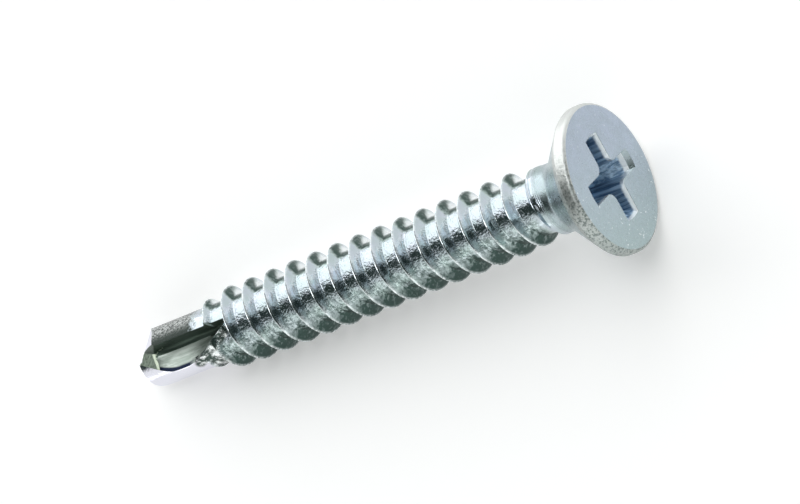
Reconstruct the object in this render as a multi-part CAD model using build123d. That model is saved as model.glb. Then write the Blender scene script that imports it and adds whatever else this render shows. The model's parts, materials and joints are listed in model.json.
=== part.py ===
from build123d import *
import os
from math import asin, atan2, ceil, cos, degrees, radians, sin, sqrt, tan

# A self drilling countersunk screw, cold formed from one length of steel wire.
#
# It is modelled along +Z, with the drill point at the origin and the flat of
# the head at the far end. Azimuths are measured about that axis in degrees.
# The last step lays it on its side, as it rests on a table: the point towards
# -X, the head towards +X, the head's rim and the first full turn of thread on
# the plane z = 0, and the origin at the middle of the box's lower face.
# All lengths are in millimetres and all angles in degrees.

# ---- the whole screw
overall_length = 30.75
rest_roll = 76.0                # azimuth 0 faces -Y, turned up by this much
rest_gap = 18.6                 # width of the gap that a flute cuts in the first full turn: it lies lowest

# ---- head: 90 degree countersink with a short cylindrical rim
head_diameter = 8.0
rim_height = 0.67
countersink_angle = 90.0
face_edge_radius = 0.28         # rounding between the rim and the flat face, in two facets
rim_edge_radius = 0.16          # rounding between the rim and the countersink
underhead_radius = 0.9          # hollow rounding from the countersink to the neck

# ---- cross recess, size 2
recess_width = 4.75             # across two opposite wings
recess_depth = 2.35             # down to where the wings end
wing_thickness = 1.15
wing_draft = 3.0                # each side of a wing leans in by this much
wing_end_angle = 26.5           # slope of the wing ends to the axis
wing_root_radius = 0.5         # rounding in the corner between two wings
recess_tip_angle = 140.0        # cone at the bottom
recess_azimuth = 13.5           # azimuth of one wing

# ---- neck and thread
neck_diameter = 3.72
neck_length = 1.0               # from the end of the thread root to the countersink's cone
thread_diameter = 4.2
root_diameter = 3.1
pitch = 1.4
flank_angle = 30.0              # between each flank and a plane across the axis
crest_width = 0.1
thread_azimuth = -90.0          # where the thread starts
lead_in_turns = 1.6             # the thread grows to full height over these turns
run_out_turns = 1.4             # and sinks into the neck over these
run_out_lead = 1.74             # from its last full ridge to the neck

# ---- drill point
drill_diameter = 3.08
drill_length = 4.1              # from the tip to the start of the thread
point_angle = 116.0             # included angle of the tip
relief_azimuth = 12.0           # from a flute's heel wall to where the relief is measured from
relief_drop = 1.03              # how far the rim drops back from the cutting edge to the heel
relief_start = 60.0             # it drops between these azimuths behind that
relief_full = 150.0
web_thickness = 1.2             # steel left between the two flutes
flute_floor_width = 0.28        # flat between the two walls of a flute
flute_length = 5.2              # from the tip to where the floor starts to rise
flute_run_out_radius = 1.9      # lengthwise curve on which the floor rises
flute_azimuth = -25.6           # azimuth of a flute's heel wall
flute_least_turn = 10.0         # from the heel wall to the edge opposite, at both ends of the flute
flute_turn = 67.0               # the same where the flute is fully open
flute_opening_start = 0.9       # it opens from here, first fast, as far as the gash, then slower
flute_opening_end = 3.0
flute_closing_start = 3.6       # from here the opposite edge closes in on the heel
flute_closing_rate = 13.0       # degrees for each mm
flute_closing_growth = 1.5      # and this much more for each mm squared
flute_count = 2

# ---- gash: the flat notch that thins the web at the tip, ahead of each flute
tip_web_thickness = 0.24        # steel left at the very tip
gash_slope = 0.353              # how fast its face leaves the axis
gash_lean = 0.158               # and how the face leans outward towards the cutting edge
gash_lip = (0.031, -0.873, 0.487, 0.06)     # plane a x + b y + c z + d = 0 below the cutting edge
gash_heel = (0.446, 0.708, -0.546, 0.475)   # and the plane that cuts across the heel
gash_end = 1.95                 # where the gash leaves the cutting edge
gash_end_turn = 50.5            # azimuth of that place from the heel wall
gash_length = 2.9               # where its cutting shape ends, inside the flute

# ---- values that follow from the sizes above
head_radius = head_diameter / 2
neck_radius = neck_diameter / 2
thread_radius = thread_diameter / 2
root_radius = root_diameter / 2
drill_radius = drill_diameter / 2
point_length = drill_radius / tan(radians(point_angle / 2))
cone_top = overall_length - rim_height
cone_bottom = cone_top - (head_radius - neck_radius) / tan(radians(countersink_angle / 2))
thread_end = cone_bottom - neck_length
full_thread_start = drill_length + lead_in_turns * pitch
full_thread_end = thread_end - run_out_lead
land_turn = 360 / flute_count
full_turns = (full_thread_end - full_thread_start) / pitch

root_shoulder = 0.25            # length of the taper from the drill's shank to the root
neck_shoulder = 0.45            # and from the root to the neck
overlap = 0.2                   # how far one solid reaches into the next before they fuse
cutter_margin = 0.5             # how far cutting shapes reach past what they cut
clear_radius = thread_radius + cutter_margin
run_out_steps = 5               # stretches that follow the curve of a flute's run-out
closing_steps = 3               # and the closing edge before that
relief_steps = 9                # sectors that follow the relief behind a cutting edge


def turned_blank():
    """The body of revolution: point, drill shank, thread root, neck and head."""
    edge_reach = face_edge_radius * (1 - sin(radians(45)))
    outline = Polyline(
        (0, 0),
        (drill_radius, point_length),
        (drill_radius, drill_length),
        (root_radius, drill_length + root_shoulder),
        (root_radius, thread_end - neck_shoulder),
        (neck_radius, thread_end),
        (neck_radius, cone_bottom),
        (head_radius, cone_top),
        (head_radius, overall_length - face_edge_radius),
        (head_radius - edge_reach, overall_length - edge_reach),
        (head_radius - face_edge_radius, overall_length),
        (0, overall_length),
        close=True,
    )
    profile = make_face(outline)
    for corner, radius in (
        ((neck_radius, cone_bottom), underhead_radius),
        ((head_radius, cone_top), rim_edge_radius),
    ):
        profile = fillet(profile.vertices().sort_by_distance((*corner, 0))[0], radius)
    return revolve(Plane.XZ * profile, Axis.Z)


def helix(start_height, rise, start_radius, growth, turns, azimuth):
    """A right-hand helix that rises and widens evenly over the given turns."""
    cone_angle = atan2(growth, rise)
    slant_pitch = rise / turns / cos(cone_angle)
    edge = Edge.make_helix(slant_pitch, rise, start_radius, angle=degrees(cone_angle))
    return Pos(0, 0, start_height) * Rot(0, 0, azimuth) * edge


def ridge_corner_offset(crest_radius, at_crest):
    """Axial distance from the middle of the ridge to a corner of its section."""
    flank_run = (crest_radius - root_radius + overlap) * tan(radians(flank_angle))
    return crest_width / 2 + (0 if at_crest else flank_run)


def ridge_edges(start, end):
    """The four corner helices of one stretch of ridge, in order around its section."""
    turns = end - start
    start_crest = crest_radius_at(start)
    end_crest = crest_radius_at(end)
    edges = []
    for at_crest, side in ((True, -1), (True, 1), (False, 1), (False, -1)):
        start_offset = side * ridge_corner_offset(start_crest, at_crest)
        end_offset = side * ridge_corner_offset(end_crest, at_crest)
        edges.append(
            helix(
                drill_length + start * pitch + start_offset,
                turns * pitch + end_offset - start_offset,
                start_crest if at_crest else root_radius - overlap,
                end_crest - start_crest if at_crest else 0,
                turns,
                thread_azimuth + start * 360,
            )
        )
    return edges


def crest_radius_at(turns):
    """Radius of the ridge's crest, so many turns after the start of the thread."""
    hidden_start = root_radius - overlap / 2
    hidden_end = neck_radius - overlap / 2
    grown = min(turns / lead_in_turns, 1)
    sunk = max((turns - lead_in_turns - full_turns) / run_out_turns, 0)
    return thread_radius - (1 - grown) * (thread_radius - hidden_start) - sunk * (thread_radius - hidden_end)


def ridge_stops():
    """Turn counts at which the ridge is divided: its changes of form, and each full turn."""
    full_end = lead_in_turns + full_turns
    whole_turns = [lead_in_turns + turn for turn in range(1, ceil(full_turns))]
    return [0, lead_in_turns / 2, lead_in_turns, *whole_turns, full_end, full_end + run_out_turns]


def thread_ridge():
    """One helical ridge: it grows out of the root, runs full and sinks into the neck."""
    stops = ridge_stops()
    faces = []
    for start, end in zip(stops, stops[1:]):
        edges = ridge_edges(start, end)
        faces += [
            Face.make_surface_from_curves(edge, neighbour)
            for edge, neighbour in zip(edges, edges[1:] + edges[:1])
        ]
    first_edges = ridge_edges(*stops[:2])
    last_edges = ridge_edges(*stops[-2:])
    faces.append(Face(Wire.make_polygon([edge @ 0 for edge in first_edges])))
    faces.append(Face(Wire.make_polygon([edge @ 1 for edge in last_edges])))
    return Solid(Shell(faces))


def flute_edge_turn(height):
    """Azimuth, from the heel wall, at which the flute's other wall meets the drill's surface."""
    if height < gash_end:
        share = (height - flute_opening_start) / (gash_end - flute_opening_start)
        return flute_least_turn + max(share, 0) * (gash_end_turn - flute_least_turn)
    if height < flute_opening_end:
        share = (height - gash_end) / (flute_opening_end - gash_end)
        return gash_end_turn + share * (flute_turn - gash_end_turn)
    closing = max(height - flute_closing_start, 0)
    closed = (flute_closing_rate + flute_closing_growth * closing) * closing
    return max(flute_turn - closed, flute_least_turn)


def flute_floor_at(height):
    """Distance of the flute's floor from the axis, along the heel wall."""
    travel = max(height - flute_length, 0)
    rise = flute_run_out_radius - sqrt(max(flute_run_out_radius**2 - travel**2, 0))
    return web_thickness / 2 + rise


def flute_section(height):
    """Section of one flute: heel wall along X, flat floor and cutting wall, open outwards."""
    edge_turn = radians(flute_edge_turn(height))
    edge_x, edge_y = drill_radius * cos(edge_turn), drill_radius * sin(edge_turn)
    floor = flute_floor_at(height)
    width = min(flute_floor_width, edge_y / 2)
    opening = min(atan2(edge_y - width, edge_x - floor), radians(90))
    reach = 2 * clear_radius
    far_x = floor + reach * cos(opening)
    far_y = width + reach * sin(opening)
    outline = Polyline(
        (floor, 0),
        (floor, width),
        (far_x, far_y),
        (far_x + reach, far_y),
        (far_x + reach, 0),
        close=True,
    )
    return Pos(0, 0, height) * make_face(outline)


def flute_cutter():
    """One flute: it opens out from the tip, then closes in on its heel and rises out of the shank."""
    heights = {0, flute_opening_start, gash_end, flute_opening_end, flute_closing_start}
    closing_length = flute_length - flute_closing_start
    heights.update(flute_closing_start + closing_length * step / closing_steps for step in range(closing_steps))
    heights.update(flute_length + flute_run_out_radius * step / run_out_steps for step in range(run_out_steps + 1))
    return loft([flute_section(height) for height in sorted(heights)], ruled=True)


def gash_corner(height, wall):
    """Where the gash's face meets one of its walls, at one height."""
    wall_x, wall_y, wall_rise, wall_offset = wall
    face_x = tip_web_thickness / 2 + gash_slope * height
    y = -(wall_offset + wall_rise * height + wall_x * face_x) / (wall_y + wall_x * gash_lean)
    return face_x + gash_lean * y, y


def gash_section(height):
    """Section of the gash: its narrow face and two walls, open outwards."""
    heel_x, heel_y = gash_corner(height, gash_heel)
    lip_x, lip_y = gash_corner(height, gash_lip)
    reach = 2 * clear_radius
    outline = Polyline(
        (heel_x, heel_y),
        (heel_x + reach * gash_heel[1], heel_y - reach * gash_heel[0]),
        (lip_x - reach * gash_lip[1], lip_y + reach * gash_lip[0]),
        (lip_x, lip_y),
        close=True,
    )
    return Pos(0, 0, height) * make_face(outline)


def gash_cutter():
    """The flat notch across the tip: its walls are the cutting edge's face and the cut heel."""
    return loft([gash_section(-cutter_margin), gash_section(gash_length)], ruled=True)


def relief_outline(start_turn, end_turn, middle, start_height, end_height):
    """Triangle over one sector: its corner on the axis and two at the cutting shapes' reach."""
    rim = [
        (clear_radius * cos(radians(turn)), clear_radius * sin(radians(turn)), height)
        for turn, height in ((start_turn, start_height), (end_turn, end_height))
    ]
    return Face(Wire.make_polygon([(0, 0, middle), *rim]))


def relief_height_at(turn):
    """Height of the point's surface at that reach, so many degrees behind a cutting edge."""
    share = min(max((turn - relief_start) / (relief_full - relief_start), 0), 1)
    drop = relief_drop * share * share * (3 - 2 * share)
    return (point_length + drop) * clear_radius / drill_radius


def relief_wedge(start_turn, end_turn):
    """What lies below the point's surface in one narrow sector behind a cutting edge."""
    below = -cutter_margin
    bottom = relief_outline(start_turn, end_turn, below, below, below)
    top = relief_outline(start_turn, end_turn, 0, relief_height_at(start_turn), relief_height_at(end_turn))
    return loft([bottom, top], ruled=True)


def relief_cutter():
    """The point's clearance behind one cutting edge: its rim drops back towards the heel."""
    turns = [land_turn * step / relief_steps for step in range(relief_steps + 1)]
    return [relief_wedge(start, end) for start, end in zip(turns, turns[1:])]


def cross_section(height):
    """The recess's cross at one height from the face: two bars with rounded inner corners."""
    thickness = wing_thickness + 2 * height * tan(radians(wing_draft))
    long_side = recess_width + 2 * cutter_margin
    cross = Rectangle(long_side, thickness) + Rectangle(thickness, long_side)
    inner_corners = cross.vertices().sort_by_distance((0, 0, 0))[:4]
    return Pos(0, 0, height) * fillet(inner_corners, wing_root_radius)


def recess_cutter():
    """Cross recess: tapered wings inside a cone, with a shallow cone at the bottom."""
    wing_slope = tan(radians(wing_end_angle))
    bottom_radius = recess_width / 2 - recess_depth * wing_slope
    lowest = -recess_depth - bottom_radius / tan(radians(recess_tip_angle / 2))
    outline = Polyline(
        (0, lowest),
        (bottom_radius, -recess_depth),
        (recess_width / 2 + cutter_margin * wing_slope, cutter_margin),
        (0, cutter_margin),
        close=True,
    )
    cone = revolve(Plane.XZ * make_face(outline), Axis.Z)
    wings = loft([cross_section(lowest), cross_section(cutter_margin)], ruled=True)
    return Pos(0, 0, overall_length) * Rot(0, 0, recess_azimuth) * (cone & wings)


def screw():
    body = turned_blank() + thread_ridge()
    for index in range(flute_count):
        turn = Rot(0, 0, flute_azimuth + index * land_turn)
        body -= turn * flute_cutter()
        body -= turn * gash_cutter()
        body -= [turn * Rot(0, 0, relief_azimuth) * wedge for wedge in relief_cutter()]
    return body - recess_cutter()


def laid_down(body):
    """Lay the screw down on its rim and on both sides of the gap in its thread, on the plane z = 0."""
    contact_span = cone_top - full_thread_start
    gap_radius = thread_radius * cos(radians(rest_gap / 2))
    tilt = degrees(asin((head_radius - gap_radius) / contact_span))
    placed = Rot(0, -tilt, 0) * Rot(0, 90, 0) * Rot(0, 0, -90 - rest_roll) * body
    box = placed.bounding_box()
    return Pos(-box.center().X, -box.center().Y, -box.min.Z) * placed


os.makedirs("parts", exist_ok=True)
export_step(laid_down(screw()), "parts/screw.step")
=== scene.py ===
import json
from math import atan2, ceil, cos, degrees, exp, hypot, pi, radians, sin, sqrt, tan

import bpy
from mathutils import Matrix, Vector, noise


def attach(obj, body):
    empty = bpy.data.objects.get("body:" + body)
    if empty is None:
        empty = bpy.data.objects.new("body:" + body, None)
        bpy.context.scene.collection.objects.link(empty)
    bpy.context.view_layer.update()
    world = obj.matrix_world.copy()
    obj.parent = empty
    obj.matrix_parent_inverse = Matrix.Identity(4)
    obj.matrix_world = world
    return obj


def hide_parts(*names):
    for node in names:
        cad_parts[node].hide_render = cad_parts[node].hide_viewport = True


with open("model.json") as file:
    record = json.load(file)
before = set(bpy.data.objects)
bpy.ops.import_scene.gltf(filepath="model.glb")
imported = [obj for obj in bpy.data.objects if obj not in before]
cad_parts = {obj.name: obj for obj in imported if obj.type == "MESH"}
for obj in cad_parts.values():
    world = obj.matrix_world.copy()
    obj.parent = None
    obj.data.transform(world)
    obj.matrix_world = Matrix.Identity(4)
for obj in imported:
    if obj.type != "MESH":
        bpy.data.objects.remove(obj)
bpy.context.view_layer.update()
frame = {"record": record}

# The screw is modelled again as one fine mesh in its own frame, in millimetres:
# the axis is Z, the drill point's tip is the origin, azimuths run from X to Y,
# and azimuth 0 is the side that the camera sees.

MM = 0.001

# ---- sizes of the screw, as in the CAD model. Wear, uneven wings, collar and burr are added here
overall_length = 30.75
rest_roll = 76.0
head_radius = 4.0
rim_height = 0.67
face_edge_radius = 0.28
rim_edge_radius = 0.16
underhead_radius = 0.9
recess_width = 4.75
recess_depth = 2.35
wing_thickness = 1.15
wing_draft = 3.0
wing_end_angle = 26.5
wing_root_radius = 0.5
wing_unevenness = 0.03          # one bar of the cross is thinner by this on each side, the other thicker
wing_extra_length = 0.12        # and the thinner bar's wings are this much longer
wear_width = 0.1                # how far the driver has rounded two wings at the mouth
wear_depth = 0.3                # and how deep that goes
recess_tip_angle = 140.0
recess_azimuth = 13.5
recess_mouth_bevel = 0.05
neck_radius = 1.86
thread_radius = 2.1
root_radius = 1.55
pitch = 1.4
flank_angle = 30.0
crest_rounding = 0.03
root_rounding = 0.09
thread_azimuth = -90.0
lead_in_turns = 1.6
run_out_turns = 1.4
thread_end = 26.94
run_out_lead = 1.74
neck_start = 26.55              # middle of the leaning edge where the neck rises from the thread root
neck_step = 0.45                # length of the taper from the thread root to the neck
neck_step_slant = 0.3           # how far the edge leans: later below, earlier above
neck_step_turn = 20.0
collar_rise = 0.03              # metal pushed up where the thread rolls end
collar_flat = 0.75              # it is flat up to here past the edge, and gone at its end
collar_end = 1.0
shank_step = 0.25               # length of the step from the drill's shank to the thread root
drill_radius = 1.54
drill_length = 4.1
point_angle = 116.0
relief_azimuth = 12.0           # from a flute's heel wall to where the relief is measured from
relief_drop = 1.03              # how far the point drops back from the cutting edge to the heel
relief_start = 60.0             # degrees past that azimuth where it begins to drop
relief_full = 150.0             # and where it has dropped fully
web_thickness = 1.2
gash_face = (0.12, 0.353, 0.158)            # of the plane x = a + b z + c y, in the flute's own directions
gash_lip = (0.031, -0.873, 0.487, 0.06)     # of the plane a x + b y + c z + d = 0
gash_heel = (0.446, 0.708, -0.546, 0.475)
gash_end = 1.95                             # where the gash leaves the cutting edge
gash_end_turn = 50.5                        # degrees from the heel to the cutting edge there
gash_turn_rate = 40.0                       # how fast it opens up to there, in degrees per millimetre
gash_top = 2.6                              # no face above this height belongs to the gash
flute_floor_width = 0.28
flute_length = 5.2
flute_run_out_radius = 1.9
flute_azimuth = -25.6
flute_turn = 67.0
flute_opening_length = 3.0
flute_closing_start = 3.6       # from here the cutting side closes in on the heel
flute_closing_rate = 13.0       # degrees per millimetre at first
flute_closing_growth = 1.5      # and so much faster with each millimetre
flute_hollow = 0.35             # rounding between the heel wall and the floor
burr_height = 0.2               # metal pushed up along the closing edge
burr_width = 0.1
burr_offset = 0.03              # its ridge lies this far past the edge
burr_lead_in = 0.8              # length over which it grows
flute_count = 2

point_length = drill_radius / tan(radians(point_angle / 2))
cone_top = overall_length - rim_height
cone_bottom = cone_top - (head_radius - neck_radius)
land_turn = 360 / flute_count
full_thread_end = thread_end - run_out_lead
full_turns = (full_thread_end - drill_length) / pitch - lead_in_turns
reach = thread_radius + 0.5     # how far cutting shapes reach from the axis
full_rise = reach - web_thickness / 2
full_run_out = flute_length + sqrt(flute_run_out_radius**2 - max(flute_run_out_radius - full_rise, 0) ** 2)

# ---- fineness of the mesh
columns = 132                   # around the axis
crest_rows = (0.0, 0.018, 0.036, 0.058, 0.085, 0.12, 0.16, 0.2, 0.24, 0.28)
root_rows = (0.32, 0.36, 0.4, 0.45, 0.51, 0.58, 0.64)
shank_rows = 10
flute_row = 0.09                # height of one row of a flute
clearance = 0.3                 # how far cutting shapes stand out of the screw
gash_shape_top = 2.9            # the gash's cutting shape lies wholly within the flute here
thread_top = 26.95              # the helical rows end here

# ---- how far the middle of a mesh face may lie from the surface that it belongs to
near_cone = 0.04
near_gash = 0.02
near_shank = 0.03
near_face = 0.02

# ---- heights between which the look of the thread fades in and out
thread_look_start = (5.0, 5.6)
thread_look_end = (26.2, 26.8)


def place_in_frame():
    """Matrix from the screw's own frame, in metres, to the shared frame."""
    mounts = {mount["name"]: mount for mount in frame["record"]["mounts"]}
    axis = Vector(mounts["cross_recess"]["axis"])
    face_centre = Vector(mounts["cross_recess"]["pos_m"])
    tilt = atan2(axis.z, axis.x)
    turn = Matrix.Rotation(pi / 2 - tilt, 4, "Y") @ Matrix.Rotation(radians(-90 - rest_roll), 4, "Z")
    return Matrix.Translation(face_centre - axis * overall_length * MM) @ turn


# ---------------------------------------------------------------- thread and shank

def crest_radius_at(turns):
    """Radius of the thread's crest, so many turns after its start."""
    hidden_start = root_radius - 0.1
    hidden_end = neck_radius - 0.1
    still_low = max(1 - turns / lead_in_turns, 0)
    sunk = max((turns - lead_in_turns - full_turns) / run_out_turns, 0)
    missing = still_low * (thread_radius - hidden_start)
    return thread_radius - missing - sunk * (thread_radius - hidden_end)


def smooth_step(value, start, end):
    share = min(max((value - start) / (end - start), 0), 1)
    return share * share * (3 - 2 * share)


def bevel_step(value, start, end, softness=0.12):
    """Straight slope from 0 to 1 with slightly rounded ends."""
    share = (value - start) / (end - start)
    return min(max(share, 0), 1) * (1 - softness) + smooth_step(value, start, end) * softness


def past_closing_edge(azimuth, height):
    """How far a point on the shank lies beyond the flute's closing edge, around the axis."""
    edge = flute_azimuth + flute_edge_turn(height)
    beyond = (azimuth - edge + land_turn / 2) % land_turn - land_turn / 2
    return radians(beyond) * drill_radius


def burr_at(azimuth, height):
    """Rise of the ragged ridge on the shank, just past the flute's closing edge."""
    if not flute_closing_start < height < full_run_out:
        return 0
    distance = past_closing_edge(azimuth, height)
    fade = smooth_step(height, flute_closing_start, flute_closing_start + burr_lead_in)
    ragged = 0.6 + 0.8 * noise.noise(Vector(around(4.5, azimuth, height * 3)))
    return burr_height * fade * ragged * exp(-((distance - burr_offset) / burr_width) ** 2)


def neck_start_at(azimuth):
    """Height of the leaning edge where the neck begins."""
    return neck_start + neck_step_slant * sin(radians(azimuth + neck_step_turn))


def blank_radius(azimuth, height):
    """Radius of the shank under the thread, and of the neck past its end."""
    start = neck_start_at(azimuth)
    neck_share = bevel_step(height, start, start + neck_step)
    collar = collar_rise * neck_share * (1 - smooth_step(height, start + collar_flat, start + collar_end))
    on_thread = smooth_step(height, drill_length, drill_length + shank_step)
    shank = drill_radius + (root_radius - drill_radius) * on_thread
    return shank + (neck_radius - shank) * neck_share + collar + burr_at(azimuth, height)


def smooth_max(first, second, blend):
    """The larger of two radii, with the corner between them filled by a hollow rounding."""
    near = max(blend - abs(first - second), 0) / blend
    return max(first, second) + near * near * blend / 4


def threaded_radius(azimuth, height, turns, offset):
    """Radius at one point, at this axial offset from the middle of the ridge."""
    crest = crest_radius_at(turns)
    flank = (sqrt(offset * offset + crest_rounding**2) - crest_rounding) / tan(radians(flank_angle))
    return smooth_max(blank_radius(azimuth, height), crest - flank, root_rounding)


def around(radius, azimuth, height):
    return (radius * cos(radians(azimuth)), radius * sin(radians(azimuth)), height)


def column_azimuth(column):
    return thread_azimuth + 360 * column / columns


def ridge_offsets():
    """Axial offsets of the rows of one pitch from the ridge's crest, in rising order."""
    side = crest_rows[1:] + root_rows
    return [-offset for offset in reversed(side)] + [0.0, *side, pitch / 2]


def thread_rows(vertices, faces, bottom, top):
    """Rows that climb with the thread, cut level at two heights. Returns the two end rings."""
    offsets = ridge_offsets()
    first_turn = -2
    turn_count = ceil((top - bottom) / pitch) + 4
    ends = {bottom: [], top: []}
    for height, ring in ends.items():
        for column in range(columns):
            azimuth = column_azimuth(column)
            ring.append(len(vertices))
            vertices.append(around(blank_radius(azimuth, height), azimuth, height))
    grid = []
    for column in range(columns):
        azimuth = column_azimuth(column)
        line = []
        for turn in range(first_turn, first_turn + turn_count + 1):
            turns = turn + column / columns
            for offset in offsets:
                height = drill_length + turns * pitch + offset
                if height <= bottom:
                    line.append(ends[bottom][column])
                elif height >= top:
                    line.append(ends[top][column])
                else:
                    line.append(len(vertices))
                    radius = threaded_radius(azimuth, height, turns, offset)
                    vertices.append(around(radius, azimuth, height))
        grid.append(line)
    row_count = turn_count * len(offsets)
    for column in range(columns):
        line = grid[column]
        wraps = column == columns - 1
        beside = grid[0][len(offsets):] if wraps else grid[column + 1]
        for row in range(row_count - len(offsets)):
            corners = [line[row], beside[row], beside[row + 1], line[row + 1]]
            face = list(dict.fromkeys(corners))
            if len(face) > 2:
                faces.append(face)
    return ends[bottom], ends[top]


def add_ring(vertices, faces, below, points, flip=False):
    """A new ring of vertices, joined to the ring below it."""
    ring = list(range(len(vertices), len(vertices) + len(points)))
    vertices.extend(points)
    count = len(ring)
    for index in range(count):
        after = (index + 1) % count
        face = [below[index], below[after], ring[after], ring[index]]
        faces.append(face[::-1] if flip else face)
    return ring


# ---------------------------------------------------------------- drill point and head

def shoulder_height(azimuth):
    """Height of the point's rim: it drops back behind each cutting edge."""
    slack = relief_azimuth / 2          # the jump between two lands lies inside the flute
    behind = (azimuth - flute_azimuth - relief_azimuth + slack) % land_turn - slack
    return point_length + relief_drop * smooth_step(behind, relief_start, relief_full)


def add_point(vertices, faces, ring):
    """Plain shank and relieved cone of the drill point, from the thread down to the tip."""
    azimuths = [column_azimuth(column) for column in range(columns)]
    for row in range(1, shank_rows + 1):
        share = row / shank_rows
        points = [
            around(drill_radius, azimuth, drill_length + share * (shoulder_height(azimuth) - drill_length))
            for azimuth in azimuths
        ]
        ring = add_ring(vertices, faces, ring, points, flip=True)
    for share in (0.75, 0.5, 0.25):
        points = [
            around(drill_radius * share, azimuth, shoulder_height(azimuth) * share)
            for azimuth in azimuths
        ]
        ring = add_ring(vertices, faces, ring, points, flip=True)
    tip = len(vertices)
    vertices.append((0, 0, 0))
    for index in range(columns):
        faces.append([ring[index], tip, ring[(index + 1) % columns]])


def arc(centre, radius, start, end, steps):
    """Points (radius, height) on an arc, with angles in degrees from the outward direction."""
    turns = [radians(start + (end - start) * step / steps) for step in range(steps + 1)]
    return [(centre[0] + radius * cos(turn), centre[1] + radius * sin(turn)) for turn in turns]


def head_profile(bottom):
    """Outline (radius, height) of the neck and head, up to the flat face."""
    cone_tangent = underhead_radius * tan(radians(22.5))
    rim_tangent = rim_edge_radius * tan(radians(22.5))
    neck_top = cone_bottom - cone_tangent
    neck = [(neck_radius, bottom + (neck_top - bottom) * share) for share in (0.35, 0.7)]
    under = arc((neck_radius + underhead_radius, neck_top), underhead_radius, 180, 135, 10)
    cone_start = under[-1]
    rim_centre = (head_radius - rim_edge_radius, cone_top + rim_tangent)
    rim_low = arc(rim_centre, rim_edge_radius, -45, 0, 5)
    cone = [
        (
            cone_start[0] + (rim_low[0][0] - cone_start[0]) * share,
            cone_start[1] + (rim_low[0][1] - cone_start[1]) * share,
        )
        for share in (0.2, 0.4, 0.6, 0.8)
    ]
    face_edge = (head_radius - face_edge_radius, overall_length - face_edge_radius)
    rim_top = arc(face_edge, face_edge_radius, 0, 90, 8)
    face = [(radius, overall_length) for radius in (face_edge[0] - 0.03, 3.3, 2.9, 2.6)]
    return neck + under + cone + rim_low + rim_top + face


def add_head(vertices, faces, ring, bottom):
    """Neck, cone and rim up to the flat face, which closes the mesh."""
    for radius, height in head_profile(bottom):
        points = [around(radius, column_azimuth(column), height) for column in range(columns)]
        ring = add_ring(vertices, faces, ring, points)
    faces.append(ring)


# ---------------------------------------------------------------- cutting shapes

def flute_floor_at(height):
    """Distance of the flute's floor from the axis."""
    travel = max(height - flute_length, 0)
    return web_thickness / 2 + flute_run_out_radius - sqrt(flute_run_out_radius**2 - travel**2)


def flute_edge_turn(height):
    """Angle at the drill's surface from the heel to the cutting edge, or to the closing edge."""
    if height < gash_end:
        return max(gash_end_turn - gash_turn_rate * (gash_end - height), 1)
    if height < flute_opening_length:
        share = (height - gash_end) / (flute_opening_length - gash_end)
        return gash_end_turn + sin(share * pi / 2) * (flute_turn - gash_end_turn)
    closing = max(height - flute_closing_start, 0)
    closed = (flute_closing_rate + flute_closing_growth * closing) * closing
    return max(flute_turn - closed, 1)


def bezier(points, steps):
    """Points along a cubic curve with four control points."""
    curve = []
    for step in range(steps + 1):
        t = step / steps
        weights = ((1 - t) ** 3, 3 * t * (1 - t) ** 2, 3 * t * t * (1 - t), t**3)
        x = sum(weight * point[0] for weight, point in zip(weights, points))
        y = sum(weight * point[1] for weight, point in zip(weights, points))
        curve.append((x, y))
    return curve


def turned(corners, azimuth, height):
    """Corners of a section, turned about the axis and set at a height."""
    turn = radians(azimuth)
    return [(x * cos(turn) - y * sin(turn), x * sin(turn) + y * cos(turn), height) for x, y in corners]


def flute_section(height, azimuth):
    """Section of the flute: heel wall, hollow floor and cutting wall, open outwards."""
    edge_turn = radians(flute_edge_turn(height))
    edge = (drill_radius * cos(edge_turn), drill_radius * sin(edge_turn))
    floor = flute_floor_at(height)
    width = min(flute_floor_width, edge[1] / 2)
    opening = min(max(atan2(edge[1] - width, edge[0] - floor), radians(20)), radians(90))
    far = 2 * reach
    hollow = flute_hollow * min(edge[1], 1)
    wall = [
        (floor + length * cos(opening), width + length * sin(opening))
        for length in (hollow, 0.6, 0.85, 1.1, far)
    ]
    floor_curve = bezier([(floor + hollow, 0), (floor, 0), (floor, width), wall[0]], 10)
    outside = [(floor + 2 * far, 0), (floor + 2 * far, wall[-1][1])]
    return turned([*outside, *reversed(wall[1:]), *reversed(floor_curve)], azimuth, height)


def closed_loft(sections):
    """Closed mesh through sections with the same number of points, listed upwards."""
    vertices = list(sections[0])
    faces = [list(range(len(vertices)))[::-1]]
    ring = list(range(len(vertices)))
    for section in sections[1:]:
        ring = add_ring(vertices, faces, ring, section)
    faces.append(ring)
    return vertices, faces


def flute_shape(azimuth):
    """What one flute takes away, from below the tip up to where it has run out."""
    rows = ceil(full_run_out / flute_row)
    heights = [-clearance] + [full_run_out * row / rows for row in range(rows + 1)]
    return closed_loft([flute_section(height, azimuth) for height in heights])


def gash_corner(height, wall):
    """Where the gash's face meets one of its walls, at one height."""
    face_x, face_slope, face_lean = gash_face
    wall_x, wall_y, wall_rise, wall_offset = wall
    face_at_axis = face_x + face_slope * height
    y = -(wall_offset + wall_rise * height + wall_x * face_at_axis) / (wall_y + wall_x * face_lean)
    return (face_at_axis + face_lean * y, y)


def gash_shape(azimuth):
    """The flat notch that thins the web at the tip, ahead of the flute."""
    sections = []
    far = 3.0
    for height in (-clearance, gash_shape_top):
        heel, lip = gash_corner(height, gash_heel), gash_corner(height, gash_lip)
        corners = [
            heel,
            (heel[0] + far * gash_heel[1], heel[1] - far * gash_heel[0]),
            (lip[0] - far * gash_lip[1], lip[1] + far * gash_lip[0]),
            lip,
        ]
        sections.append(turned(corners, azimuth, height))
    return closed_loft(sections)


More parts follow.
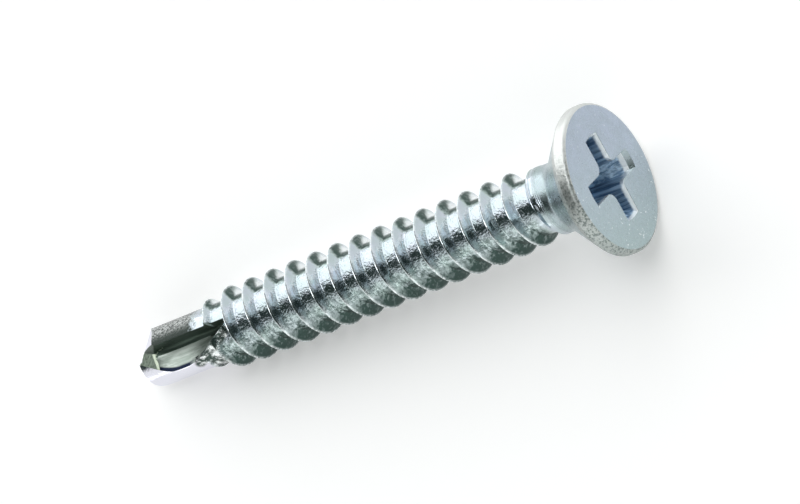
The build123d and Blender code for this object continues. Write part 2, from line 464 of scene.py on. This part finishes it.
def worn_mouth(x, y, depth):
    """The driver has rounded the far sides of two wings just inside the mouth."""
    turn = radians(recess_azimuth)
    along, beside = x * cos(turn) + y * sin(turn), y * cos(turn) - x * sin(turn)
    share = max(1 - max(depth, 0) / wear_depth, 0) ** 2
    worn = wear_width * share * smooth_step(-along, 0.2, 0.5) * smooth_step(abs(beside), 0.65, 0.95)
    if abs(along) > 0.9:
        worn = 0
    return (x - worn * cos(turn), y - worn * sin(turn))


def wing_outline(half, next_half, end_radius):
    """One wing's end and the rounded root towards the next wing, for a wing along X."""
    end_turn = atan2(half, sqrt(end_radius**2 - half**2))
    points = []
    for step in range(-4, 5):
        angle = end_turn * step / 4
        points.append((end_radius * cos(angle), end_radius * sin(angle)))
    for step in range(0, 9):
        angle = -pi / 2 - pi / 2 * step / 8
        x = next_half + wing_root_radius * (1 + cos(angle))
        y = half + wing_root_radius * (1 + sin(angle))
        points.append((x, y))
    return points


def cross_outline(depth, extra):
    """Section of the recess at one depth: four wings with rounded roots, ends on a circle."""
    points = []
    for wing in range(4):
        bar = 1 - 2 * (wing % 2)            # 1 for the bar towards the camera, -1 for the other
        half = wing_thickness / 2 - bar * wing_unevenness - depth * tan(radians(wing_draft)) + extra
        next_half = half + 2 * bar * wing_unevenness
        length = recess_width / 2 + (0.5 + bar / 2) * wing_extra_length
        end_radius = length - depth * tan(radians(wing_end_angle)) + extra
        outline = turned(wing_outline(half, next_half, end_radius), recess_azimuth + 90 * wing, depth)
        points += [worn_mouth(*point) for point in outline]
    return points


def recess_section(depth, bottom_radius):
    """Section of the recess at one depth, wider in the bevel and sunk to a cone at the bottom."""
    in_bevel = min(max(recess_mouth_bevel - depth, 0), recess_mouth_bevel)
    outline = cross_outline(depth, in_bevel**2 / recess_mouth_bevel)
    if depth < recess_depth:
        return [(x, y, overall_length - depth) for x, y in outline]
    slope = tan(radians(recess_tip_angle / 2))
    return [
        (x, y, overall_length - depth - max(bottom_radius - hypot(x, y), 0) / slope)
        for x, y in outline
    ]


def recess_shape():
    """What the driver's recess takes away, from its conical bottom up to above the face."""
    bevel = [recess_mouth_bevel * step / 3 for step in range(1, 4)]
    worn_rows = [0.09, 0.13, 0.17, 0.21, 0.25, 0.3]
    depths = [-clearance, 0.0, *bevel, *worn_rows]
    depths += [recess_depth * share for share in (0.25, 0.5, 0.75, 1.0)]
    bottom_radius = recess_width / 2 - recess_depth * tan(radians(wing_end_angle))
    sections = [recess_section(depth, bottom_radius) for depth in reversed(depths)]
    vertices, faces = closed_loft(sections)
    faces[0:1] = []
    tip = len(vertices)
    tip_depth = recess_depth + bottom_radius / tan(radians(recess_tip_angle / 2))
    vertices.append((0, 0, overall_length - tip_depth))
    count = len(sections[0])
    faces += [[(index + 1) % count, index, tip] for index in range(count)]
    return vertices, faces


# ---------------------------------------------------------------- the piece

def new_object(name, vertices, faces):
    """An object in the screw's own frame, from millimetres."""
    mesh = bpy.data.meshes.new(name)
    mesh.from_pydata([Vector(vertex) * MM for vertex in vertices], [], faces)
    mesh.validate()
    piece = bpy.data.objects.new(name, mesh)
    bpy.context.collection.objects.link(piece)
    return piece


def cut(piece, shapes):
    """Cut the shapes out of the piece, and remove them."""
    cutters = []
    for vertices, faces in shapes:
        scaled = new_object("cutter", vertices, faces)
        cutters.append(scaled)
        step = piece.modifiers.new("cut", "BOOLEAN")
        step.operation = "DIFFERENCE"
        step.solver = "EXACT"
        step.object = scaled
    graph = bpy.context.evaluated_depsgraph_get()
    mesh = bpy.data.meshes.new_from_object(piece.evaluated_get(graph))
    piece.modifiers.clear()
    piece.data = mesh
    for cutter in cutters:
        bpy.data.objects.remove(cutter)


def threaded_share(z):
    """1 on the thread, fading to 0 on the drill point and on the neck."""
    return smooth_step(z, *thread_look_start) * (1 - smooth_step(z, *thread_look_end))


def shade_cap_limits(radius):
    """Angles above the middle between which the thread is rougher and painted in shade: narrow at the
    root, wide at the crest.
    """
    share = min(max((radius - root_radius + 0.08) / 0.5, 0), 1)
    return 50 + 9 * share, 64 + 26 * share


def dull_and_shade_share(azimuth, radius):
    """Where the zinc is rougher and painted in shade: a cap at the upper end of each turn, and the lower
    half.
    """
    low, high = shade_cap_limits(radius)
    above = smooth_step(-azimuth, low, low + 12) * (1 - smooth_step(-azimuth, high, high + 24))
    below = 0.3 * smooth_step(azimuth, 8, 30) + 0.7 * smooth_step(azimuth, 30, 68)
    return max(above, below)


def torn_share(azimuth, radius, z):
    """Torn metal along the flute's closing edge and where the thread starts below it."""
    innermost = 1.4
    if radius <= innermost:
        return 0.0
    strip = smooth_step(z, 3.7, 4.3) * (1 - smooth_step(z, 6.6, 7.0))
    strip *= exp(-((past_closing_edge(azimuth, z) - 0.3) / 0.32) ** 2)
    start = smooth_step(z, 4.4, 4.9) * (1 - smooth_step(z, 5.9, 6.3))
    start *= smooth_step(azimuth, 20, 40) * (1 - smooth_step(azimuth, 130, 150))
    return max(strip, 0.6 * start) * smooth_step(radius, innermost, innermost + 0.1)


def facts_at(x, y, z):
    """What the material needs to know of a point, from its place on the screw."""
    radius = hypot(x, y)
    azimuth = degrees(atan2(y, x))
    turns = (z - drill_length) / pitch - (azimuth - thread_azimuth) % 360 / 360
    offset = (turns - round(turns)) * pitch
    threaded = threaded_share(z)
    high = shade_cap_limits(radius)[1]
    # a painted highlight on the roots, just past the painted shade at the upper end of each turn
    highlit_root = smooth_step(-azimuth, high, high + 24) * (1 - smooth_step(radius, 1.65, 2.0))
    return {
        "torn": torn_share(azimuth, radius, z),
        "root": threaded * (1 - smooth_step(radius, root_radius + 0.08, root_radius + 0.25)),
        "crest": threaded * (1 - smooth_step(abs(offset), 0.02, 0.09)),
        # rougher and painted in shade at the upper end of each turn and on the lower half
        "dull_and_shade": threaded * dull_and_shade_share(azimuth, radius),
        "highlit_root": threaded * highlit_root,
        "past_step": z - neck_start_at(azimuth),
        # painted shade on the scaly land, deepening towards the flute
        "land_shade": smooth_step(azimuth, -66, -30),
    }


def point_surfaces_at(x, y, z):
    """Which surface of the drill point the middle of a mesh face lies on, each as true or false."""
    radius, azimuth = hypot(x, y), degrees(atan2(y, x))
    turn = radians(flute_azimuth)
    across, aside = x * cos(turn) + y * sin(turn), y * cos(turn) - x * sin(turn)
    if across < 0:
        across, aside = -across, -aside
    face_x, face_slope, face_lean = gash_face
    in_point = z < drill_length + 2.5 and radius < drill_radius - near_shank
    on_cone = in_point and abs(z - shoulder_height(azimuth) * radius / drill_radius) < near_cone
    in_flute = in_point and not on_cone and z > radius * point_length / drill_radius
    on_gash_face = abs(across - face_x - face_slope * z - face_lean * aside) < near_gash
    in_gash = in_flute and on_gash_face and z < gash_top
    on_land = radius >= drill_radius - near_shank and z < drill_length + 1.2
    return {
        "gash": in_gash,
        "flute": in_flute and not in_gash,
        "heel": in_flute and not in_gash and aside < flute_floor_width,
        "rough_land": on_land and -140 < azimuth < flute_azimuth and radius < 1.6,
        # the lower land, which takes a painted highlight
        "highlit_land": on_land and 0 < azimuth < 160 and z < drill_length + 0.6,
        "cone": on_cone,
    }


def surface_at(x, y, z):
    """Which of the screw's surfaces the middle of a mesh face lies on, each as true or false."""
    radius = hypot(x, y)
    depth = overall_length - z
    in_recess = 0.03 < depth < 3 and radius < recess_width / 2 + 0.1 - 0.45 * depth
    surfaces = point_surfaces_at(x, y, z)
    surfaces["face"] = depth < near_face and not in_recess
    surfaces["rim"] = radius > 3.6 and depth > near_face
    surfaces["recess"] = in_recess
    return surfaces


def keep_surface_facts(mesh):
    """Store what the material reads: each point's own place and facts, and each face's surface."""
    places = [vertex.co / MM for vertex in mesh.vertices]
    facts = [facts_at(*place) for place in places]
    own = mesh.attributes.new("own", "FLOAT_VECTOR", "POINT")
    own.data.foreach_set("vector", [value for place in places for value in place])
    for name in facts[0]:
        attribute = mesh.attributes.new(name, "FLOAT", "POINT")
        attribute.data.foreach_set("value", [fact[name] for fact in facts])
    surfaces = [surface_at(*(face.center / MM)) for face in mesh.polygons]
    for name in surfaces[0]:
        attribute = mesh.attributes.new(name, "FLOAT", "FACE")
        attribute.data.foreach_set("value", [float(surface[name]) for surface in surfaces])


def build_screw():
    vertices, faces = [], []
    bottom_ring, top_ring = thread_rows(vertices, faces, drill_length, thread_top)
    add_point(vertices, faces, bottom_ring)
    add_head(vertices, faces, top_ring, thread_top)
    piece = new_object("screw_body", vertices, faces)
    flutes = [flute_shape(flute_azimuth + index * land_turn) for index in range(flute_count)]
    gashes = [gash_shape(flute_azimuth + index * land_turn) for index in range(flute_count)]
    cut(piece, [*flutes, *gashes, recess_shape()])
    piece.data.shade_smooth()
    piece.data.set_sharp_from_angle(angle=radians(17))
    keep_surface_facts(piece.data)
    piece.data.transform(place_in_frame())
    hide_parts("screw")
    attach(piece, "root")
    return piece


# ---------------------------------------------------------------- shader nodes

def add_node(tree, kind, inputs=None, **settings):
    """A shader node. Its inputs are values, or sockets of other nodes to link."""
    node = tree.nodes.new(kind)
    for name, value in settings.items():
        setattr(node, name, value)
    for name, value in (inputs or {}).items():
        if isinstance(value, bpy.types.NodeSocket):
            tree.links.new(value, node.inputs[name])
        else:
            node.inputs[name].default_value = value
    return node


def attribute(tree, name):
    return add_node(tree, "ShaderNodeAttribute", attribute_name=name)


def combined(tree, operation, values):
    """The values taken together from left to right: ADD, MULTIPLY, SUBTRACT or MAXIMUM."""
    result = values[0]
    for value in values[1:]:
        result = add_node(tree, "ShaderNodeMath", {0: result, 1: value}, operation=operation).outputs[0]
    return result


def total(tree, *values):
    return combined(tree, "ADD", values)


def product(tree, *values):
    return combined(tree, "MULTIPLY", values)


def difference(tree, *values):
    return combined(tree, "SUBTRACT", values)


def largest(tree, *values):
    return combined(tree, "MAXIMUM", values)


def noise_field(tree, vector, scale, detail=2.0, roughness=0.5):
    inputs = {"Vector": vector, "Scale": scale, "Detail": detail, "Roughness": roughness}
    return add_node(tree, "ShaderNodeTexNoise", inputs).outputs["Fac"]


def mix_color(tree, share, first, second, blend="MIX"):
    node = tree.nodes.new("ShaderNodeMix")
    node.data_type = "RGBA"
    node.blend_type = blend
    for socket, value in ((node.inputs[0], share), (node.inputs[6], first), (node.inputs[7], second)):
        if isinstance(value, bpy.types.NodeSocket):
            tree.links.new(value, socket)
        else:
            socket.default_value = value
    return node.outputs[2]


def ramp(tree, value, low, high, start=0.0, end=1.0, easing="LINEAR"):
    """Value from start to end as the input goes from low to high."""
    inputs = {"Value": value, "From Min": low, "From Max": high, "To Min": start, "To Max": end}
    return add_node(tree, "ShaderNodeMapRange", inputs, interpolation_type=easing).outputs["Result"]


def stretched(tree, vector, scale):
    node = add_node(tree, "ShaderNodeVectorMath", {0: vector, 1: scale}, operation="MULTIPLY")
    return node.outputs["Vector"]


def distance_along(tree, vector, azimuth):
    """How far a point lies from the axis in a direction across it, on either side."""
    towards = (cos(radians(azimuth)), sin(radians(azimuth)), 0)
    inputs = {0: vector, 1: towards}
    signed = add_node(tree, "ShaderNodeVectorMath", inputs, operation="DOT_PRODUCT").outputs["Value"]
    return add_node(tree, "ShaderNodeMath", {0: signed}, operation="ABSOLUTE").outputs[0]


# ---------------------------------------------------------------- zinc plating

# ---- colours of the plating, and of the shade and highlights painted on it, as linear red, green and blue
pale_zinc = (0.47, 0.55, 0.57, 1)
bluish_zinc = (0.52, 0.57, 0.63, 1)
# painted shade: dark green at the upper end of each turn and on the lower half of the thread
stain_green = (0.055, 0.09, 0.08, 1)
crest_shine = (0.78, 0.83, 0.84, 1)
# painted highlight on the high roots
highlight_zinc = (0.88, 0.91, 0.92, 1)
# painted shade: the face is darker than the rest of the zinc
face_blue = (0.37, 0.43, 0.50, 1)
face_pale_blue = (0.40, 0.46, 0.55, 1)
face_green = (0.40, 0.50, 0.50, 1)
face_speck = (0.75, 0.80, 0.82, 1)
rim_pale = (0.72, 0.72, 0.70, 1)
rim_dull = (0.44, 0.47, 0.44, 1)
rim_blot = (0.13, 0.15, 0.13, 1)
# painted shade inside the recess, with a painted highlight just inside its mouth
recess_shade_blue = (0.15, 0.24, 0.36, 1)
recess_streak = (0.56, 0.72, 0.86, 1)
recess_mouth_highlight = (0.80, 0.85, 0.88, 1)
flute_grey = (0.36, 0.42, 0.38, 1)
flute_line = (0.54, 0.60, 0.56, 1)
# painted shade on the heel wall, and a painted dark reflection along the lip
heel_shade = (0.08, 0.11, 0.09, 1)
lip_dark_reflection = (0.015, 0.022, 0.045, 1)
# painted shade on the gash, and a painted highlight along its border
gash_dark = (0.05, 0.07, 0.05, 1)
gash_olive = (0.13, 0.17, 0.13, 1)
gash_edge_highlight = (0.42, 0.48, 0.38, 1)
# the scale's dark colours are partly painted shade
scale_and_shade_dark = (0.035, 0.04, 0.04, 1)
scale_grain = (0.66, 0.69, 0.68, 1)
scale_shaded = (0.04, 0.05, 0.045, 1)
# painted highlight on one land and on the relieved cone
land_highlight_pale = (0.74, 0.74, 0.81, 1)
torn_dark = (0.05, 0.075, 0.065, 1)
torn_bright = (0.85, 0.89, 0.88, 1)
stain_tint = (1.02, 1.07, 0.99, 1)           # multiplies the zinc's colour, greener, where shade is painted on the thread
neck_tint = (0.76, 0.81, 0.79, 1)            # and this one its colour past the neck's edge

fact_names = (
    "torn", "root", "crest", "dull_and_shade", "highlit_root", "past_step", "land_shade", "recess",
    "face", "rim", "gash", "flute", "heel", "rough_land", "highlit_land", "cone",
)


def known_fields(tree):
    """Each point's place, its facts, and the noises that several parts of the material share."""
    own = attribute(tree, "own").outputs["Vector"]
    known = {name: attribute(tree, name).outputs["Fac"] for name in fact_names}
    place = add_node(tree, "ShaderNodeSeparateXYZ", {0: own}).outputs
    flat = stretched(tree, own, (1, 1, 0))
    known["own"] = own
    known["x"], known["y"], known["z"] = place["X"], place["Y"], place["Z"]
    length = add_node(tree, "ShaderNodeVectorMath", {0: flat}, operation="LENGTH")
    known["radius"] = length.outputs["Value"]
    known["grain"] = noise_field(tree, own, 9.0, 3.0, 0.6)
    known["pits"] = noise_field(tree, own, 4.5, 2.0, 0.6)
    known["clouds"] = ramp(tree, noise_field(tree, own, 1.3), 0.35, 0.65)
    known["lines"] = noise_field(tree, stretched(tree, own, (9.0, 9.0, 0.5)), 1.0, 3.0, 0.6)
    known["scaly"] = scaly_land(tree, known)
    known["stain"] = stained_share(tree, known)
    return known


def scaly_land(tree, known):
    """The scale on one land of the drill point, with a ragged end."""
    land_end = total(tree, known["z"], ramp(tree, known["pits"], 0.3, 0.7, -0.25, 0.25))
    return product(tree, known["rough_land"], ramp(tree, land_end, 4.9, 4.5))


def stained_share(tree, known):
    """The thread's painted shade, with ragged borders."""
    unevenness = ramp(tree, known["pits"], 0.3, 0.7, -1.0, 1.0)
    raggedness = product(tree, unevenness, ramp(tree, known["root"], 0.0, 1.0, 0.25, 0.45))
    ragged = total(tree, known["dull_and_shade"], raggedness)
    return product(tree, ramp(tree, ragged, 0.05, 0.95), ramp(tree, known["dull_and_shade"], 0.0, 0.1))


def surface_normal(tree, known):
    """Grain, pits and dents, drawn lines in flute and recess, rolled lines beside the neck's edge."""
    dents = {"Vector": known["own"], "Scale": 5.5}
    dents = add_node(tree, "ShaderNodeTexVoronoi", dents, feature="SMOOTH_F1").outputs["Distance"]
    rim, torn = product(tree, known["rim"], 0.6), product(tree, known["torn"], 2.5)
    grainy = largest(tree, known["root"], known["scaly"], rim, torn)
    depth = total(tree, product(tree, grainy, 0.5), 0.2)
    rough = product(tree, total(tree, known["grain"], known["pits"]), depth)
    dented = product(tree, dents, product(tree, grainy, 0.35))
    drawn = largest(tree, product(tree, known["flute"], 0.5), known["recess"])
    drawn = product(tree, known["lines"], drawn)
    beside_step = product(
        tree,
        ramp(tree, known["past_step"], 0.5, 0.6),
        ramp(tree, known["past_step"], 0.95, 0.8),
    )
    wave = add_node(tree, "ShaderNodeMath", {0: product(tree, known["past_step"], 56.0)}, operation="SINE")
    rolled = product(tree, wave.outputs[0], beside_step, 0.33)
    height = total(tree, rough, dented, drawn, rolled)
    inputs = {"Height": height, "Strength": 1.0, "Distance": 0.00003}
    return add_node(tree, "ShaderNodeBump", inputs).outputs["Normal"]


def rolled_color(tree, known):
    """Pale blue-grey zinc, darker and greener where shade is painted at the upper end of each turn and on
    the lower half, bright on crests, and with a painted highlight on high roots.
    """
    zinc = mix_color(tree, known["clouds"], pale_zinc, bluish_zinc)
    # painted shade: greener, then dark green, at the upper end of each turn and on the lower half
    zinc = mix_color(tree, ramp(tree, known["dull_and_shade"], 0.0, 0.3), zinc, stain_tint, "MULTIPLY")
    zinc = mix_color(tree, known["stain"], zinc, stain_green)
    worn = product(tree, known["crest"], ramp(tree, known["grain"], 0.35, 0.6))
    zinc = mix_color(tree, worn, zinc, crest_shine)
    # painted highlight on the high roots
    zinc = mix_color(tree, known["highlit_root"], zinc, highlight_zinc)
    return mix_color(tree, ramp(tree, known["past_step"], 0.5, 0.8), zinc, neck_tint, "MULTIPLY")


def face_color(tree, known):
    """The head's flat face: darker than the rest of the zinc as painted shade, bluer above, greener below,
    with bright specks where it was worn.
    """
    # painted shade: the face is darker than the rest of the zinc
    smudges = mix_color(tree, known["clouds"], face_blue, face_pale_blue)
    greener = ramp(tree, known["y"], -2.0, 4.0, 0.0, 0.9)
    smudges = mix_color(tree, greener, smudges, face_green)
    more_below = ramp(tree, known["y"], -1.0, 3.0, -0.04, 0.03)
    specks = total(tree, noise_field(tree, known["own"], 6.0, 1.0), more_below)
    return mix_color(tree, ramp(tree, specks, 0.73, 0.76), smudges, face_speck)


def rim_color(tree, known):
    """The head's rim: pale above, darker below, with dark blots."""
    darker = ramp(tree, known["y"], -2.0, 3.0)
    pale_to_dull = mix_color(tree, darker, rim_pale, rim_dull)
    unevenness = ramp(tree, total(tree, known["grain"], known["pits"]), 1.05, 0.85)
    blots = product(tree, unevenness, ramp(tree, known["y"], -3.0, 1.5))
    return mix_color(tree, blots, pale_to_dull, rim_blot)


def recess_color(tree, known):
    """The recess: a pale painted highlight just inside its mouth, reaching deeper at one wing's end, then
    blue painted shade with the punch's streaks.
    """
    below = difference(tree, overall_length, known["z"], ramp(tree, known["x"], -1.5, -1.6, 0.0, 0.3))
    below = total(tree, below, ramp(tree, known["pits"], 0.3, 0.7, -0.04, 0.04))
    streaks = noise_field(tree, stretched(tree, known["own"], (6.0, 6.0, 0.3)), 1.0, 3.0, 0.6)
    streaks = ramp(tree, streaks, 0.38, 0.62)
    blue = mix_color(tree, streaks, recess_shade_blue, recess_streak)
    # painted highlight near the mouth, painted shade deeper down
    return mix_color(tree, ramp(tree, below, 0.2, 0.3), recess_mouth_highlight, blue)


def flute_color(tree, known, zinc):
    """Pale floor with drawn lines, painted shade on the heel wall, and a painted dark reflection as a line
    along the lip.
    """
    floor_lines = ramp(tree, known["lines"], 0.38, 0.62)
    floor = mix_color(tree, floor_lines, flute_grey, flute_line)
    zinc = mix_color(tree, known["flute"], zinc, floor)
    # painted shade on the heel wall
    zinc = mix_color(tree, known["heel"], zinc, heel_shade)
    cutting_side = difference(tree, known["flute"], known["heel"])
    at_lip = ramp(tree, known["radius"], 1.28, 1.36)
    before_closing = ramp(tree, known["z"], 4.2, 3.6)
    # painted dark reflection along the lip
    lip = product(tree, cutting_side, at_lip, before_closing)
    return mix_color(tree, lip, zinc, lip_dark_reflection)


def gash_color(tree, known):
    """The gash: dark olive, its darkness painted shade, with a painted highlight as a pale border towards
    the flute.
    """
    patches = ramp(tree, known["pits"], 0.35, 0.65)
    olive = mix_color(tree, patches, gash_dark, gash_olive)
    across = distance_along(tree, known["own"], flute_azimuth)
    aside = distance_along(tree, known["own"], flute_azimuth + 90)
    border = difference(tree, across, product(tree, aside, 0.32))
    # painted highlight along the border, over the gash's painted shade
    return mix_color(tree, ramp(tree, border, 0.55, 0.57), olive, gash_edge_highlight)


def land_color(tree, known, zinc):
    """Dark grainy scale on one land, its darkness partly painted shade and deepening into painted shade
    towards the flute; a pale painted highlight on the other land and on the relieved cone.
    """
    grains = ramp(tree, noise_field(tree, known["own"], 10.0, 3.0, 0.7), 0.4, 0.62)
    scale = mix_color(tree, grains, scale_and_shade_dark, scale_grain)
    # painted shade, deepening towards the flute
    scale = mix_color(tree, known["land_shade"], scale, scale_shaded)
    zinc = mix_color(tree, known["scaly"], zinc, scale)
    # painted highlight on the lower land and on the relieved cone
    bright = largest(tree, known["highlit_land"], known["cone"])
    return mix_color(tree, bright, zinc, land_highlight_pale)


def torn_color(tree, known):
    scars = ramp(tree, noise_field(tree, known["own"], 2.6, 3.0, 0.6), 0.45, 0.62)
    return mix_color(tree, scars, torn_dark, torn_bright)


def zinc_color(tree, known):
    zinc = rolled_color(tree, known)
    zinc = mix_color(tree, known["face"], zinc, face_color(tree, known))
    zinc = mix_color(tree, product(tree, known["rim"], 0.75), zinc, rim_color(tree, known))
    zinc = mix_color(tree, known["recess"], zinc, recess_color(tree, known))
    zinc = flute_color(tree, known, zinc)
    zinc = mix_color(tree, known["gash"], zinc, gash_color(tree, known))
    zinc = land_color(tree, known, zinc)
    return mix_color(tree, ramp(tree, known["torn"], 0.2, 0.6), zinc, torn_color(tree, known))


def zinc_roughness(tree, known):
    """Smooth where it was rolled, coarser on the cut faces, the rim, and where shade and highlight are
    painted on the thread.
    """
    coarse = largest(tree, known["flute"], known["gash"], known["recess"], known["cone"])
    matt = largest(tree, known["flute"], known["cone"], ramp(tree, known["past_step"], 0.6, 0.8))
    return total(
        tree,
        ramp(tree, known["pits"], 0.3, 0.7, 0.08, 0.18),
        product(tree, coarse, 0.17),
        product(tree, known["scaly"], 0.3),
        product(tree, known["rim"], 0.12),
        product(tree, matt, 0.15),
        product(tree, largest(tree, known["stain"], known["highlit_root"]), 0.2),
    )


def zinc_material():
    """Bright zinc plating: smooth where it was rolled, grainy in the roots and on the point."""
    material = bpy.data.materials.new("zinc_plated_steel")
    material.use_nodes = True
    tree = material.node_tree
    shader = tree.nodes["Principled BSDF"]
    known = known_fields(tree)
    tree.links.new(surface_normal(tree, known), shader.inputs["Normal"])
    tree.links.new(zinc_color(tree, known), shader.inputs["Base Color"])
    tree.links.new(zinc_roughness(tree, known), shader.inputs["Roughness"])
    shader.inputs["Metallic"].default_value = 1.0
    return material


# ---------------------------------------------------------------- camera, floor and light

photo_width = 800
photo_height = 504
floor_size = 3.0
white = (1, 1, 1, 1)
ceiling_color = (0.035, 0.05, 0.045, 1)
floor_color = (0.9, 0.9, 0.9, 1)
floor_glow = 0.23               # what the camera and mirrors see besides the light on the floor
key_direction = (0.3, 0.05, 0.95)
key_distance = 0.5
key_size = 0.2
key_radiance = 4.3
sensor_width = 36.0
view_angle = 57.7               # between the screw's axis and the line to the camera
view_distance = 450.0           # from the aimed point, in millimetres
view_scale = 19.583             # photo pixels per millimetre at the aimed point
axis_slope = 21.77              # how steeply the screw's axis rises across the photo
aimed_height = 15.9             # the aimed point, on the screw's axis
aimed_pixel = (380.2, 269.3)    # where the aimed point is in the photo


def add_camera(place):
    """The camera as it stood for the photo, worked out in the screw's own frame."""
    axis, side, down = Vector((0, 0, 1)), Vector((1, 0, 0)), Vector((0, 1, 0))
    towards = axis * cos(radians(view_angle)) + side * sin(radians(view_angle))
    along = (axis - towards * cos(radians(view_angle))) / sin(radians(view_angle))
    slope = radians(axis_slope)
    right = along * cos(slope) + down * sin(slope)
    up = along * sin(slope) - down * cos(slope)
    across = (aimed_pixel[0] - photo_width / 2) / view_scale
    above = (photo_height / 2 - aimed_pixel[1]) / view_scale
    stand = axis * aimed_height + towards * view_distance - right * across - up * above
    data = bpy.data.cameras.new("camera")
    data.sensor_width = sensor_width
    data.lens = sensor_width * view_scale * view_distance / photo_width
    data.clip_end = 10
    camera = bpy.data.objects.new("camera", data)
    bpy.context.collection.objects.link(camera)
    turn = Matrix((right, up, towards)).transposed().to_4x4()
    turn.translation = stand * MM
    camera.matrix_world = place @ turn
    bpy.context.scene.camera = camera


def add_floor():
    """White floor that keeps the screw's shadow; the camera and mirrors see it a little brighter."""
    low, high = -floor_size / 2, floor_size / 2
    corners = [(low, low, 0), (high, low, 0), (high, high, 0), (low, high, 0)]
    mesh = bpy.data.meshes.new("floor")
    mesh.from_pydata(corners, [], [[0, 1, 2, 3]])
    floor = bpy.data.objects.new("floor", mesh)
    bpy.context.collection.objects.link(floor)
    material = bpy.data.materials.new("white_floor")
    material.use_nodes = True
    tree = material.node_tree
    shader = tree.nodes["Principled BSDF"]
    shader.inputs["Base Color"].default_value = floor_color
    shader.inputs["Roughness"].default_value = 1.0
    shader.inputs["Specular IOR Level"].default_value = 0.0
    rays = add_node(tree, "ShaderNodeLightPath").outputs
    seen = largest(tree, rays["Is Camera Ray"], rays["Is Glossy Ray"], rays["Is Transmission Ray"])
    tree.links.new(product(tree, seen, floor_glow), shader.inputs["Emission Strength"])
    shader.inputs["Emission Color"].default_value = white
    mesh.materials.append(material)


def add_light(name, direction, distance, size, radiance):
    """A round soft lamp that looks at the screw from a direction of the shared frame."""
    data = bpy.data.lights.new(name, "AREA")
    data.shape = "DISK"
    data.size = size
    data.energy = radiance * pi * pi * (size / 2) ** 2
    lamp = bpy.data.objects.new(name, data)
    bpy.context.collection.objects.link(lamp)
    away = Vector(direction).normalized()
    lamp.location = away * distance
    lamp.rotation_mode = "QUATERNION"
    lamp.rotation_quaternion = away.to_track_quat("Z", "Y")


def add_world():
    """Studio room: white at the horizon, a bright wall on each long side, and dark between them above."""
    world = bpy.data.worlds.new("studio")
    bpy.context.scene.world = world
    world.use_nodes = True
    tree = world.node_tree
    direction = add_node(tree, "ShaderNodeTexCoord").outputs["Generated"]
    parts = add_node(tree, "ShaderNodeSeparateXYZ", {0: direction}).outputs
    room = add_node(tree, "ShaderNodeValToRGB", {"Fac": parts["Z"]})
    horizon, ceiling = room.color_ramp.elements
    horizon.position, horizon.color = 0.08, white
    ceiling.position, ceiling.color = 0.17, ceiling_color
    brightness = ramp(tree, parts["X"], 0.1, 0.7, 1.8, 0.4, "SMOOTHSTEP")
    back = product(tree, ramp(tree, parts["Y"], 0.14, 0.36, 0, 1, "SMOOTHSTEP"), brightness)
    beyond_head = ramp(tree, parts["X"], 0.3, 0.7, 0.0, 0.15, "SMOOTHSTEP")
    front_start = difference(tree, parts["Y"], beyond_head)
    front = ramp(tree, front_start, -0.45, -0.65, 0, 1.0, "SMOOTHSTEP")
    lit = mix_color(tree, 1.0, room.outputs["Color"], back, "ADD")
    lit = mix_color(tree, 1.0, lit, front, "ADD")
    tree.links.new(lit, tree.nodes["Background"].inputs["Color"])


place = place_in_frame()
screw = build_screw()
screw.data.materials.clear()
screw.data.materials.append(zinc_material())
add_camera(place)
add_floor()
add_light("key", key_direction, key_distance, key_size, key_radiance)
add_world()
bpy.context.scene.view_settings.view_transform = "Standard"
